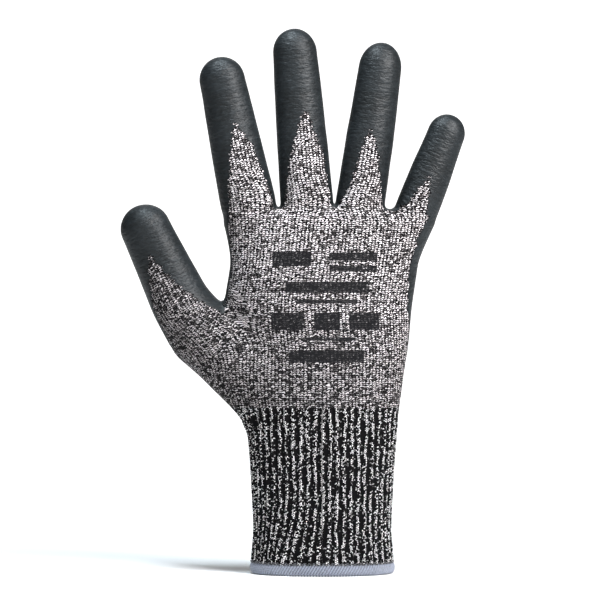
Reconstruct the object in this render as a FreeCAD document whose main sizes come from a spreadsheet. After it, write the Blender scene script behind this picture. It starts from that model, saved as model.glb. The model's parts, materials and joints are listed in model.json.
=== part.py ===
"""A right-hand cut resistant work glove, size 9: a seamless knit liner, a dipped rubber coating over the
palm and the fingertips, a ribbed cuff with elastic threads and an overlocked hem.

The glove stands on its cuff, filled as on a hand. X runs across the palm towards the little finger, Y runs
from the back of the hand towards the palm, and Z runs up the fingers. The origin is the middle of the cuff's
opening. Lengths are in millimetres and angles in degrees.

The knit and the coating are one flexible skin on the real glove. Here each is cut where the glove flexes,
so that every stretch between two flex lines is a stiff piece that turns about its flex line.
"""

import FreeCAD, Part
import os

DIMENSIONS = (
    # The skin, from the outside in.
    ("coating_skin", 0.5, "thickness of the dipped coating"),
    ("layer_gap", 0.15, "room between the coating and the knit"),
    ("liner_wall", 1.1, "thickness of the knit"),
    ("depth_share", 0.88, "depth of a finger as a share of its width"),
    # The cuff.
    ("hem_height", 5.0, "height of the overlocked hem"),
    ("hem_half_thick", 1.6, "half the thickness of the hem"),
    ("hem_half_width", 33.4, "half the width of the hem, outside"),
    ("cuff_half_depth", 21.5, "half the depth of the cuff"),
    ("cuff_foot_half", 33.0, "half the cuff's width above the hem"),
    ("cuff_waist_half", 31.8, "half the cuff's width at its narrowest"),
    ("cuff_waist_up", 20.0, "height of the cuff's narrowest place"),
    ("cuff_swell_half", 33.2, "half the cuff's width at its middle"),
    ("cuff_swell_up", 48.0, "height of the cuff's middle"),
    ("cuff_head_half", 35.6, "half the cuff's width at the wrist"),
    ("rib_wall", 2.0, "thickness of the ribbed knit"),
    ("thread_radius", 0.4, "radius of an elastic thread"),
    ("thread_step", 6.0, "height from one elastic thread to the next"),
    ("thread_clear", 0.5, "room between a thread and the ribbed knit"),
    # The flex lines across the whole hand.
    ("flex_depth", 2.0, "how far each flex line lies towards the palm from the middle of the depth"),
    ("flex_slit", 0.25, "half the slit at a flex line"),
    ("flex_spare", 1.5, "angle that stays free at the end of each bend"),
    ("wrist_up", 76.0, "height of the wrist's flex line"),
    ("wrist_curl", 45.0, "wrist bend towards the palm"),
    ("wrist_lift", 35.0, "wrist bend towards the back"),
    ("knuckle_up", 149.0, "height of the knuckles' flex line"),
    ("knuckle_curl", 35.0, "knuckle bend towards the palm"),
    ("knuckle_lift", 15.0, "knuckle bend towards the back"),
    # The hand from the wrist to the webs: half width, half depth and middle of each section.
    ("heel_half", 35.5, "half width at the heel"),
    ("heel_depth", 20.3, "half depth at the heel"),
    ("low_palm_up", 100.0, "height of the lower palm"),
    ("low_palm_half", 39.0, "half width of the lower palm"),
    ("low_palm_depth", 18.0, "half depth of the lower palm"),
    ("mid_palm_up", 123.0, "height of the middle of the palm"),
    ("mid_palm_half", 42.8, "half width of the middle of the palm"),
    ("mid_palm_depth", 16.5, "half depth of the middle of the palm"),
    ("mid_palm_side", -2.0, "sideways place of the middle of the palm"),
    ("top_palm_up", 143.0, "height of the top of the palm"),
    ("top_palm_half", 42.8, "half width of the top of the palm"),
    ("top_palm_depth", 15.0, "half depth of the top of the palm"),
    ("top_palm_side", 1.0, "sideways place of the top of the palm"),
    ("web_up", 167.0, "height of the webs between the fingers"),
    ("web_half", 48.9, "half width across the webs"),
    ("web_depth", 12.3, "half depth at the webs"),
    ("web_side", 3.4, "sideways place of the webs' middle"),
    ("stub_bury", 16.0, "how far a finger's tube runs down into the hand"),
    ("stub_width_share", 0.8, "width of that buried end as a share of the finger's root"),
    ("stub_depth_share", 0.55, "half depth of that buried end as a share of the root's half width"),
    ("middle_share", 0.55, "place of a digit's middle section between its root and its dome"),
    # The bends of every finger.
    ("root_curl", 55.0, "finger root bend towards the palm"),
    ("root_lift", 10.0, "finger root bend towards the back"),
    ("middle_curl", 80.0, "middle knuckle bend towards the palm"),
    ("end_curl", 40.0, "end knuckle bend towards the palm"),
    ("thumb_root_curl", 35.0, "thumb root bend across the palm"),
    ("thumb_root_lift", 10.0, "thumb root bend away from the palm"),
    ("thumb_end_curl", 50.0, "thumb end bend"),
    ("thumb_turn", 20.0, "turn of the thumb's flex lines about the thumb, towards the fingers"),
)

# Each finger: its root's place, its lean towards the thumb, its length from the web, its half widths at the
# root, the middle and the tip's dome, the dome's height, its three flex lines and the top of the bare back.
FINGER_KEYS = ("side", "up", "lean", "length", "root_half", "middle_half", "tip_half", "dome",
               "root_flex", "middle_flex", "end_flex", "bare_back")
FINGERS = {
    "index": (-33.9, 169.0, 12.0, 68.9, 12.5, 11.3, 10.2, 10.5, 9.0, 30.0, 50.5, 38.0),
    "middle": (-7.0, 169.0, 4.5, 81.0, 11.9, 11.0, 9.8, 11.0, 9.5, 34.0, 58.0, 43.6),
    "ring": (17.2, 168.0, -8.4, 76.0, 11.1, 10.5, 9.5, 11.5, 9.0, 32.0, 55.0, 35.5),
    "little": (43.0, 166.0, -21.5, 46.8, 9.7, 9.2, 8.3, 9.0, 7.5, 22.5, 34.5, 17.2),
}
THUMB = (-65.6, 125.0, 25.5, 47.3, 13.3, 12.0, 11.2, 11.0, 7.5, 0.0, 24.0, 25.7)

# The ball of the thumb under the thumb's root: distance down, sideways, half width and half depth.
THUMB_BALL = (
    ("ball_low", 62.5, 21.8, 19.0, 15.0),
    ("ball_mid", 36.3, 12.2, 18.6, 15.0),
    ("ball_top", 17.0, 3.1, 15.2, 13.5),
)
BALL_KEYS = ("down", "side", "half", "depth")

# How far each face of the skin lies inside the glove's outside.
COAT_BACK = "Dims.coating_skin"
LINER_FACE = "(Dims.coating_skin + Dims.layer_gap)"
LINER_BACK = "(Dims.coating_skin + Dims.layer_gap + Dims.liner_wall)"
LAYERS = {"coating": ("0", COAT_BACK), "liner": (LINER_FACE, LINER_BACK)}

REACH = "120"  # larger than half of the glove, for the blocks that cut it
SIDE_ROOM = "1"  # how far a block that cuts one finger stands out beside it
THREADS = 6  # elastic threads, from the cuff's waist to its middle

doc = FreeCAD.newDocument("CutResistantGlove")
nodes = []


def fill_sheet():
    """Writes the driving dimensions, one a row: meaning, value and alias."""
    sheet = doc.addObject("Spreadsheet::Sheet", "Dims")
    rows = list(DIMENSIONS)
    for digit, values in {**FINGERS, "thumb": THUMB}.items():
        rows += [(f"{digit}_{key}", value, f"{digit}: {key}") for key, value in zip(FINGER_KEYS, values)]
    for name, *values in THUMB_BALL:
        rows += [(f"{name}_{key}", value, f"{name}: {key}") for key, value in zip(BALL_KEYS, values)]
    for row, (alias, value, meaning) in enumerate(rows, start=1):
        sheet.set(f"A{row}", meaning)
        sheet.set(f"B{row}", str(value))
        sheet.setAlias(f"B{row}", alias)
    doc.recompute()


def add(kind, name, **formulas):
    """A document object whose properties are bound to formulas over the sheet."""
    made = doc.addObject(kind, name)
    for prop, formula in formulas.items():
        made.setExpression(prop.replace("_", "."), formula)
    return made


def placed(x="0", y="0", z="0", axis="0;0;1", angle="0"):
    """The formula of a placement."""
    return f"placement(vector({x}; {y}; {z}); rotation(vector({axis}); {angle}))"


def join(name, pieces):
    joined = doc.addObject("Part::MultiFuse", name)
    joined.Shapes = pieces
    return joined


def cut(name, base, tool):
    left = doc.addObject("Part::Cut", name)
    left.Base = base
    left.Tool = tool
    return left


def common(name, base, tool):
    shared = doc.addObject("Part::Common", name)
    shared.Base = base
    shared.Tool = tool
    return shared


def standing(name, shape, placement):
    """A copy of a shape that stands where the placement's formula says."""
    copy = doc.addObject("Part::Compound", name)
    copy.Links = [shape]
    copy.setExpression("Placement", placement)
    return copy


def finish_node(obj, name, placement=None):
    """Labels an object as a sub-part of the glove."""
    obj.Label = name
    if placement:
        obj.setExpression("Placement", placement)
    nodes.append(obj)


def loft(name, sections, inset="0"):
    """A solid through ellipses, each given as side, height, half width and half depth, all drawn in."""
    rings = []
    for number, (side, height, half, depth) in enumerate(sections):
        rings.append(add("Part::Ellipse", f"{name}_ring{number}", MajorRadius=f"{half} - {inset}",
                         MinorRadius=f"{depth} - {inset}", Placement=placed(x=side, z=height)))
    solid = doc.addObject("Part::Loft", name)
    solid.Sections = rings
    solid.Solid = True
    return solid


def slab(name, bottom, top, half=REACH, front=f"-{REACH}"):
    """A block between two heights, from its front face towards the palm."""
    return add("Part::Box", name, Length=f"2 * {half}", Width=f"{REACH} - ({front})",
               Height=f"{top} - ({bottom})", Placement=placed(x=f"-{half}", y=front, z=bottom))


def flex_gap(name, height, curl, lift, half=REACH, turn="0"):
    """The room that a bend needs: a slit at the flex line that opens towards the palm and the back."""
    slit = {"Xmin": f"-{half}", "Xmax": half, "X2min": f"-{half}", "X2max": half}
    palm_wide = f"(Dims.flex_slit + {REACH} * tan({curl} / 2 + Dims.flex_spare))"
    back_wide = f"(Dims.flex_slit + {REACH} * tan({lift} / 2 + Dims.flex_spare))"
    palm = add("Part::Wedge", f"{name}_palm", **slit, Ymin="0", Ymax=REACH, Zmin="-Dims.flex_slit",
               Zmax="Dims.flex_slit", Z2min=f"-{palm_wide}", Z2max=palm_wide)
    back = add("Part::Wedge", f"{name}_back", **slit, Ymin=f"-{REACH}", Ymax="0", Zmin=f"-{back_wide}",
               Zmax=back_wide, Z2min="-Dims.flex_slit", Z2max="Dims.flex_slit")
    gap = join(name, [palm, back])
    gap.setExpression("Placement", placed(x=f"Dims.flex_depth * sin({turn})", z=height,
                                          y=f"Dims.flex_depth * cos({turn})", angle=f"-({turn})"))
    return gap


def digit_sections(digit, inset):
    """The sections of a finger's or the thumb's tube, in its own upright frame."""
    own = f"Dims.{digit}"
    share = "Dims.depth_share"
    if digit == "thumb":
        low = [(f"Dims.{ball}_side", f"-Dims.{ball}_down", f"Dims.{ball}_half", f"Dims.{ball}_depth")
               for ball, *_ in THUMB_BALL]
    else:
        low = [("0", f"{inset} - Dims.stub_bury", f"Dims.stub_width_share * {own}_root_half",
                f"Dims.stub_depth_share * {own}_root_half")]
    dome_base = f"({own}_length - {own}_dome)"
    return low + [
        ("0", "0", f"{own}_root_half", f"{own}_root_half * {share}"),
        ("0", f"Dims.middle_share * {dome_base}", f"{own}_middle_half", f"{own}_middle_half * {share}"),
        ("0", dome_base, f"{own}_tip_half", f"{own}_tip_half * {share}"),
    ]


def digit_tube(digit, name, inset):
    """A finger's tube with its domed tip, drawn in by the inset."""
    own = f"Dims.{digit}"
    tube = loft(f"{name}_tube", digit_sections(digit, inset), inset)
    dome = add("Part::Ellipsoid", f"{name}_dome", Radius1=f"{own}_dome - {inset}",
               Radius2=f"{own}_tip_half - {inset}", Radius3=f"{own}_tip_half * Dims.depth_share - {inset}",
               Angle1="0", Placement=placed(z=f"{own}_length - {own}_dome"))
    return join(name, [tube, dome])


def digit_place(digit):
    """The formula that stands a digit at its root, leaning."""
    own = f"Dims.{digit}"
    return placed(x=f"{own}_side", z=f"{own}_up", axis="0;1;0", angle=f"-{own}_lean")


def digit_gaps(digit, half):
    """The gaps of a digit's flex lines, from the root up."""
    own = f"Dims.{digit}"
    if digit == "thumb":
        bends = (("root_flex", "thumb_root_curl", "Dims.thumb_root_lift"),
                 ("end_flex", "thumb_end_curl", "0"))
        turn = "Dims.thumb_turn"
    else:
        bends = (("root_flex", "root_curl", "Dims.root_lift"), ("middle_flex", "middle_curl", "0"),
                 ("end_flex", "end_curl", "0"))
        turn = "0"
    return [flex_gap(f"{digit}_{line}_gap", f"{own}_{line}", f"Dims.{curl}", lift, half, turn)
            for line, curl, lift in bends]


def dip_block(digit):
    """The space that the dip reaches: a plane that climbs from the root's sides to the bare back's top."""
    own = f"Dims.{digit}"
    slope = f"atan({own}_root_half * Dims.depth_share / {own}_bare_back)"
    block = add("Part::Box", f"{digit}_dip", Length=f"2 * {REACH}", Width=REACH, Height=f"2 * {REACH}")
    block.setExpression("Placement", placed(x=f"-{REACH}", y=f"{REACH} * sin({slope})",
                                            z=f"-{REACH} * cos({slope})", axis="1;0;0", angle=slope))
    return block


def make_digit(digit):
    """Makes a digit's moving sub-parts and returns the stubs by which it leaves the hand, by layer."""
    own = f"Dims.{digit}"
    half = f"({own}_root_half + {SIDE_ROOM})"
    gaps = digit_gaps(digit, half)
    all_gaps = join(f"{digit}_gaps", gaps)
    above_root = join(f"{digit}_above_root",
                      [slab(f"{digit}_over", f"{own}_root_flex", REACH, half), gaps[0]])
    lines = [line for line in ("root_flex", "middle_flex", "end_flex")
             if not (digit == "thumb" and line == "middle_flex")]
    names = ("base", "mid", "tip") if len(lines) == 3 else ("base", "tip")
    tops = [f"{own}_{line}" for line in lines[1:]] + [f"{own}_length + {SIDE_ROOM}"]
    slabs = [slab(f"{digit}_{name}_slab", f"{own}_{line}", top)
             for name, line, top in zip(names, lines, tops)]
    dip = dip_block(digit)
    stubs = {}
    for layer, (face, back) in LAYERS.items():
        outside = digit_tube(digit, f"{digit}_{layer}_face", face)
        inside = digit_tube(digit, f"{digit}_{layer}_back", back)
        shell = cut(f"{digit}_{layer}_shell", outside, inside)
        if layer == "coating":
            shell = common(f"{digit}_{layer}_dipped", shell, dip)
        opened = cut(f"{digit}_{layer}_opened", shell, all_gaps)
        for name, block in zip(names, slabs):
            piece = common(f"{digit}_{name}_{layer}", opened, block)
            finish_node(piece, f"{digit}_{name}_{layer}", digit_place(digit))
        stub = cut(f"{digit}_{layer}_stub", outside, above_root)
        stubs[layer] = (standing(f"{digit}_{layer}_stub_face", stub, digit_place(digit)),
                        standing(f"{digit}_{layer}_stub_back", inside, digit_place(digit)))
    return stubs


def hand_sections(inset):
    """The sections of the hand from below the wrist to the webs."""
    return [
        ("0", "Dims.wrist_up - Dims.cuff_half_depth", "Dims.heel_half", "Dims.heel_depth"),
        ("0", "Dims.wrist_up", "Dims.heel_half", "Dims.heel_depth"),
        ("0", "Dims.low_palm_up", "Dims.low_palm_half", "Dims.low_palm_depth"),
        ("Dims.mid_palm_side", "Dims.mid_palm_up", "Dims.mid_palm_half", "Dims.mid_palm_depth"),
        ("Dims.top_palm_side", "Dims.top_palm_up", "Dims.top_palm_half", "Dims.top_palm_depth"),
        ("Dims.web_side", f"Dims.web_up - {inset}", "Dims.web_half", "Dims.web_depth"),
    ]


def make_hand(finger_stubs, thumb_stubs):
    """The palm between the wrist and the knuckles, and the knuckle band with the fingers' stubs."""
    wrist_gap = flex_gap("wrist_gap", "Dims.wrist_up", "Dims.wrist_curl", "Dims.wrist_lift")
    knuckle_gap = flex_gap("knuckle_gap", "Dims.knuckle_up", "Dims.knuckle_curl", "Dims.knuckle_lift")
    gaps = join("hand_gaps", [wrist_gap, knuckle_gap])
    parts = {"palm": ("Dims.wrist_up", "Dims.knuckle_up", [thumb_stubs]),
             "knuckle": ("Dims.knuckle_up", f"2 * {REACH}", finger_stubs)}
    for layer, insets in LAYERS.items():
        faces = [loft(f"hand_{layer}_{side}", hand_sections(inset), inset)
                 for side, inset in zip(("face", "back"), insets)]
        front = "0" if layer == "coating" else f"-{REACH}"
        for part, (bottom, top, stubs) in parts.items():
            outside, inside = [join(f"{part}_{layer}_{side}", [faces[i]] + [stub[layer][i] for stub in stubs])
                               for i, side in enumerate(("face", "back"))]
            shell = cut(f"{part}_{layer}_shell", outside, inside)
            stretch = common(f"{part}_{layer}_stretch", shell,
                             slab(f"{part}_{layer}_slab", bottom, top, front=front))
            finish_node(cut(f"{part}_{layer}", stretch, gaps), f"{part}_{layer}")
    return wrist_gap


def make_cuff(wrist_gap):
    """The ribbed tube under the wrist."""
    foot = "Dims.hem_height"
    sections = [
        ("0", foot, "Dims.cuff_foot_half", "Dims.cuff_half_depth"),
        ("0", "Dims.cuff_waist_up", "Dims.cuff_waist_half", "Dims.cuff_half_depth"),
        ("0", "Dims.cuff_swell_up", "Dims.cuff_swell_half", "Dims.cuff_half_depth"),
        ("0", "Dims.wrist_up", "Dims.cuff_head_half", "Dims.heel_depth"),
    ]
    shell = cut("cuff_shell", loft("cuff_face", sections), loft("cuff_back", sections, "Dims.rib_wall"))
    finish_node(cut("cuff_rib", shell, wrist_gap), "cuff_rib")


def ring_tube(name, half, depth, height, radius_up, radius_out):
    """A closed oval cord, whose section is an ellipse that stands across it."""
    path = add("Part::Ellipse", f"{name}_path", MajorRadius=half, MinorRadius=depth,
               Placement=placed(z=height))
    across = add("Part::Ellipse", f"{name}_section", MajorRadius=radius_up, MinorRadius=radius_out,
                 Placement=placed(x=half, z=height, axis="1;1;1", angle="240"))
    cord = doc.addObject("Part::Sweep", name)
    cord.Sections = [across]
    cord.Spine = (path, ["Edge1"])
    cord.Solid = True
    return cord


def make_hem():
    """The overlocked edge: a soft cord of thread around the foot of the cuff."""
    hem = ring_tube("hem_band", "Dims.hem_half_width - Dims.hem_half_thick",
                    "Dims.cuff_half_depth - Dims.hem_half_thick", "Dims.hem_height / 2",
                    "Dims.hem_height / 2", "Dims.hem_half_thick")
    finish_node(hem, "hem_band")


def make_threads():
    """The elastic threads laid inside the ribbed knit, from the waist of the cuff to its middle."""
    inset = "(Dims.rib_wall + Dims.thread_clear + Dims.thread_radius)"
    flare = "(Dims.cuff_swell_half - Dims.cuff_waist_half) / (Dims.cuff_swell_up - Dims.cuff_waist_up)"
    threads = []
    for number in range(THREADS):
        up = f"({number} * Dims.thread_step)"
        threads.append(ring_tube(f"thread{number}", f"Dims.cuff_waist_half + {up} * {flare} - {inset}",
                                 f"Dims.cuff_half_depth - {inset}", f"Dims.cuff_waist_up + {up}",
                                 "Dims.thread_radius", "Dims.thread_radius"))
    bundle = doc.addObject("Part::Compound", "cuff_elastic_threads")
    bundle.Links = threads
    finish_node(bundle, "cuff_elastic_threads")


def check_and_export():
    """Stops on any object that failed, then writes each sub-part's STEP file."""
    for obj in doc.Objects:
        if "Invalid" in obj.State or "Error" in obj.State:
            raise RuntimeError(f"{obj.Label} failed: {obj.State}")
    os.makedirs("parts", exist_ok=True)
    for node in nodes:
        shape = node.Shape
        if shape.isNull() or not shape.isValid() or not shape.Solids:
            raise RuntimeError(f"{node.Label} has no valid solid")
        print(f"{node.Label}: {len(shape.Solids)} solid(s), {shape.Volume:.0f} mm3")
        shape.exportStep(f"parts/{node.Label}.step")


fill_sheet()
make_hem()
stubs_of_fingers = [make_digit(finger) for finger in FINGERS]
wrist_room = make_hand(stubs_of_fingers, make_digit("thumb"))
make_cuff(wrist_room)
make_threads()
doc.recompute()
check_and_export()
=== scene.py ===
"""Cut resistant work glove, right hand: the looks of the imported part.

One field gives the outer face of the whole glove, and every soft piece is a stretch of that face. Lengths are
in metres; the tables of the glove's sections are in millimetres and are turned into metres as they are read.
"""

import json
import math

import bmesh
import bpy
import numpy as np
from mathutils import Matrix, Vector, noise


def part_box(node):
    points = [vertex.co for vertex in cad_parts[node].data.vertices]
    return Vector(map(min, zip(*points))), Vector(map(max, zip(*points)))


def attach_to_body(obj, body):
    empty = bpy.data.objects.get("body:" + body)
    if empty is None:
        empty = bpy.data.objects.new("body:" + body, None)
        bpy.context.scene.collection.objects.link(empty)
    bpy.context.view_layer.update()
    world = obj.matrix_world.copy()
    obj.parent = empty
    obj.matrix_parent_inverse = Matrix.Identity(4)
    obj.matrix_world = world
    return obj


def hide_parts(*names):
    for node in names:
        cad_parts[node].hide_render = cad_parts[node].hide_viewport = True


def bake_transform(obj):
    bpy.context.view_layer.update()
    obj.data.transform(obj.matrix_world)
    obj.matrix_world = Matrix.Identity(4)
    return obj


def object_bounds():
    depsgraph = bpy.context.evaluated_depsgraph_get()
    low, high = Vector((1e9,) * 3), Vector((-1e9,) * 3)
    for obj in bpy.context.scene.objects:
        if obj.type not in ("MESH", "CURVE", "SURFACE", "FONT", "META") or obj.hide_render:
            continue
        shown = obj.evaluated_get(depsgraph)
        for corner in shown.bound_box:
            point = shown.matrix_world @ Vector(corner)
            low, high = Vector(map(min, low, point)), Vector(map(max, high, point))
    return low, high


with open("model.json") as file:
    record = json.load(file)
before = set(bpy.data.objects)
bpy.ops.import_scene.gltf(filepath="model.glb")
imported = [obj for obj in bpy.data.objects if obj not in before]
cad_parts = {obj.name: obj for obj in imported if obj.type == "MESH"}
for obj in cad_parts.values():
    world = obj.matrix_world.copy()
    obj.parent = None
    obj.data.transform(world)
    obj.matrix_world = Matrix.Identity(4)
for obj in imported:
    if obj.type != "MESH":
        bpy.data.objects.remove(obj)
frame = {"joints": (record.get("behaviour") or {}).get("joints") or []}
cad_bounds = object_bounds()

MM = 0.001
VOXEL = 1.05 * MM
HEM_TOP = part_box("hem_band")[1].z
HINGE_DEPTH = 2.0 * MM  # how far a digit's flex lines lie towards the palm from its middle

# The hand from the cuff's opening to the webs: height, side, half width, half depth.
HAND = (
    (0, 0, 33.0, 21.4), (5, 0, 33.0, 21.4), (20, 0, 31.8, 21.4), (48, 0, 33.2, 21.4), (76, 0, 35.4, 20.3),
    (100, 0, 39.0, 18.0), (123, -2.0, 42.8, 16.5), (143, 1.0, 42.8, 15.0), (160, 3.0, 47.4, 12.9),
)
WEB_DOME = 8.0  # height of the rounded web above the last section
HAND_POWER = 2.2  # 2 is an ellipse, more is squarer

# Each digit along its own line from its root: place, side, half width, half depth.
DIGIT_ROWS = {
    "index": ((-16, 0, 10.0, 6.9), (0, 0, 12.5, 11.0), (32, 0, 11.3, 9.9), (58.4, 0, 10.2, 9.0)),
    "middle": ((-16, 0, 9.5, 6.5), (0, 0, 11.9, 10.5), (38.5, 0, 11.0, 9.7), (70, 0, 9.8, 8.6)),
    "ring": ((-16, 0, 8.9, 6.1), (0, 0, 11.1, 9.8), (35.5, 0, 10.5, 9.2), (64.5, 0, 9.5, 8.4)),
    "little": ((-16, 0, 7.8, 5.3), (0, 0, 9.7, 8.5), (20.8, 0, 9.2, 8.1), (37.8, 0, 8.3, 7.3)),
    "thumb": ((-62.5, 21.8, 19.0, 15.0), (-36.3, 12.2, 18.6, 15.0), (-22, 4.6, 17.3, 13.8),
              (-17, 2.8, 15.6, 13.5), (0, 0, 13.3, 11.7), (20, 0, 12.0, 10.6), (36.3, 0, 11.2, 9.9)),
}
DOMES = {"index": 10.5, "middle": 11.0, "ring": 11.5, "little": 9.0, "thumb": 11.0}
FIRST_BEND = {"index": 9.0, "middle": 9.5, "ring": 9.0, "little": 7.5, "thumb": 7.5}

# How near each other two tubes start to flow together.
FINGER_BLEND = 1.8 * MM
ROOT_BLEND = 3 * MM
THUMB_BLEND = 6 * MM
LEAST_REACH = 1e-6  # keeps a tube's middle line out of the division
LEAST_SLOPE = 0.4  # of a tube's field, as a share of one over its half width
LEAST_STEEP = 0.05  # bounds a point's step where the field is flat

# The stretches over which each digit bends, from its root up, in millimetres along it.
ZONES = {
    "index": ((0, 18), (21, 39), (43.5, 57.5)),
    "middle": ((0.5, 18.5), (25, 43), (51, 65)),
    "ring": ((0, 18), (23, 41), (48, 62)),
    "little": ((0.5, 14.5), (15.5, 29.5), (29.5, 39.5)),
    "thumb": ((0, 15), (16, 32)),
}
SEGMENTS = {"thumb": ("base", "tip")}
FINGER_SEGMENTS = ("base", "mid", "tip")
NEAR_DIGIT = 2.5 * MM  # the skin this near a digit's tube belongs to the digit
ROOT_MARGIN = 3 * MM  # how far below its root a digit's cuts still reach
THUMB_BORDER = -49 * MM  # the knuckle cut stops here, short of the thumb
SKIN_FOOT = 12 * MM  # how far below the wrist line the skin's source mesh starts
THUMB_SEAM = (13 * MM, -30 * MM)  # across and along the thumb, where its knit runs on from the hand's
FINGER_MIX = 16 * MM  # length over which a finger's knit takes over from the hand's
THUMB_MIX = (-45 * MM, -5 * MM)  # stretch along the thumb over which its knit takes over
THUMB_MIX_REACH = 13 * MM  # how far from the thumb its knit still shows in the hand's
BEHIND = -20 * MM  # a depth behind the hand's back wherever a digit's knit is anchored
DEPTH_SHARE = 0.5  # of a half depth, added to the half width for a quarter of the girth
KNUCKLE_ZONE = (138 * MM, 160 * MM)
WRIST_LINE = 76 * MM  # where the rib ends and the plain knit starts
TUCK = 0.8 * MM  # how far the rib runs on under the plain knit

# Where the back of each digit is bare knit: place along it, then the edges of the bare stretch to the
# thumb's side and to the little finger's side, as shares of a quarter of the girth from the back's middle.
BARE = {
    "index": ((-14, -0.70, 0.90), (2, -0.58, 0.80), (14, -0.40, 0.67), (26, -0.17, 0.52), (38, 0.10, 0.13)),
    "middle": ((-14, -0.80, 0.90), (1.6, -0.70, 0.84), (10, -0.60, 0.76), (22, -0.42, 0.68),
               (31.6, -0.20, 0.44), (43.6, 0.16, 0.20)),
    "ring": ((-14, -0.80, 0.90), (0.7, -0.72, 0.84), (8.5, -0.42, 0.67), (17.5, -0.31, 0.49),
             (23.5, -0.25, 0.34), (29.5, -0.16, 0.21), (35.5, 0.0, 0.03)),
    "little": ((-14, -0.65, 0.72), (0, -0.45, 0.40), (8, -0.26, 0.23), (17.2, -0.01, 0.02)),
    "thumb": ((-14, -0.92, 0.72), (-11, -0.90, 0.66), (2, -0.80, 0.27), (12, -0.62, 0.04),
              (20, -0.38, -0.10), (25.7, -0.20, -0.17)),
}
# How far towards the back the coating reaches round the hand's two edges: height, place in depth.
LITTLE_EDGE = ((76, 6.0), (95, 3.5), (108, 0.5), (122, -5.9), (136, -6.7), (160, -6.6), (172, -4.0))
THUMB_EDGE = ((76, 6.0), (100, 3.0), (118, -3.0), (126, -3.5), (150, -2.5), (158, -4.0), (166, -6.6),
              (172, -4.0))
EDGE_SPLIT = -25 * MM  # across, where the thumb's edge gives way to the little finger's
CROTCH_START = -14 * MM  # place along the thumb where its own bare stretch starts
RAGGED = (1.6 * MM, 3 * MM, 4.0)  # size, spacing and seed of the waves in the coating's edge
FOOT_WAVE = (4 * MM, 30 * MM, 9.0)  # the same for its foot
STITCH_RAGGED = 0.05  # random shift of a digit's edge at each stitch, of a quarter of its girth
EDGE_BAND = 1.3 * MM  # how near the coating's edge faces are divided
COAT_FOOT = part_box("palm_coating")[0].z
COAT_RISE = 0.38 * MM
LIP_SHARE = 0.7  # of the coating's height, left at its free edge
LIP_FOOT = 0.12 * MM  # how deep in the knit the edge's lip ends
SWELLS = ((0.30 * MM, 11 * MM, 2.0), (0.5 * MM, 26 * MM, 7.0))  # size, spacing and seed
LINER_WALL = 1.0 * MM

COURSE = 0.94 * MM  # height of a stitch of the plain knit
WALE = 1.75 * MM  # width of a stitch of the plain knit
OUTLINE_STEPS = 720
RIBS = 53
LEGS_PER_RIB = 5.0  # half stitches side by side from one rib to the next
RIB_COURSE = 0.80 * MM
RIB_DEPTH = 1.15 * MM
RIB_WALL = 1.9 * MM
RIB_WANDER = ((0.11, 7 * MM, 2.3), (0.06, 2.1 * MM, 5.1))  # share of a rib, height, turn from rib to rib
RIB_EDGES = (0.26, 0.86)  # a rib's side, from 0 in a groove to 1 on a rib's middle
RIB_FADE = (2.5 * MM, 0.75)  # height over which the grooves fill at the wrist line, and how far
RIB_UNDER = 0.3 * MM  # how far the rib lies below the plain knit that overlaps it
RIB_BEAD = 0.11 * MM  # height of a single stitch on a rib
FAN = 1.9  # ribs by which the columns have moved sideways at the hem
FAN_TOP = 36 * MM
FAN_RIGHT = (12 * MM, -24 * MM)  # places across the cuff over which the lean sets in
FAN_LEFT = (-32 * MM, -20 * MM)
HEM_TUCK = (0.9 * MM, 0.4 * MM, -0.8 * MM)  # how far in the rib is drawn, and from where to where at the hem
RIB_FOOT = HEM_TOP - 1.5 * MM  # the rib ends inside the hem

HEM_INSET = 1.35 * MM
HEM_HALF_HEIGHT = HEM_TOP / 2 - 0.25 * MM
HEM_HALF_THICK = 1.15 * MM
OVERLOCK_LOOPS = 128
OVERLOCK_STEPS = 16  # points in each loop
OVERLOCK_RADIUS = 0.42 * MM
OVERLOCK_PROUD = (0.18 * MM, 0.12 * MM)  # how far the thread's middle lies out from the band, and above it
OVERLOCK_LEAN = 0.9  # loops by which each turn of the overlock thread leans at its top and foot
CHAIN_RADIUS = 0.27 * MM
CHAIN_SWING = (0.25 * MM, 0.55 * MM)  # outward and upward
CHAIN_LOOPS = 80
CHAIN_STEPS = 480  # points in the whole chain
CHAIN_OFFSET = 0.25 * MM  # how far the chain lies above the hem's top, and inside the glove's face
ELASTIC_RINGS = 6
ELASTIC_INSET = 1.5 * MM
ELASTIC_RADIUS = 0.3 * MM

JOINTS = {joint["name"]: joint for joint in frame["joints"]}


# ---- the glove's outer face

def smooth_table(rows, step=0.5 * MM, spread=6 * MM):
    """Rows of place and values, read in millimetres, as a dense rounded table in metres."""
    rows = np.array(rows, float) * MM
    places = np.arange(rows[0, 0], rows[-1, 0] + step / 2, step)
    window = np.hanning(2 * int(spread / step) + 3)
    window /= window.sum()
    columns = []
    for column in rows[:, 1:].T:
        dense = np.interp(places, rows[:, 0], column)
        padded = np.pad(dense, len(window) // 2, mode="reflect", reflect_type="odd")
        columns.append(np.convolve(padded, window, "valid"))
    return places, columns


def make_tube(origin, up, rows, dome, power):
    """A soft tube about a straight line, with a rounded end above and below."""
    places, columns = smooth_table(rows)
    across = np.array((up[2], 0.0, -up[0]))
    return {"origin": np.array(origin, float), "up": np.array(up, float), "across": across,
            "places": places, "columns": columns, "dome": dome * MM, "power": power}


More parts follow.
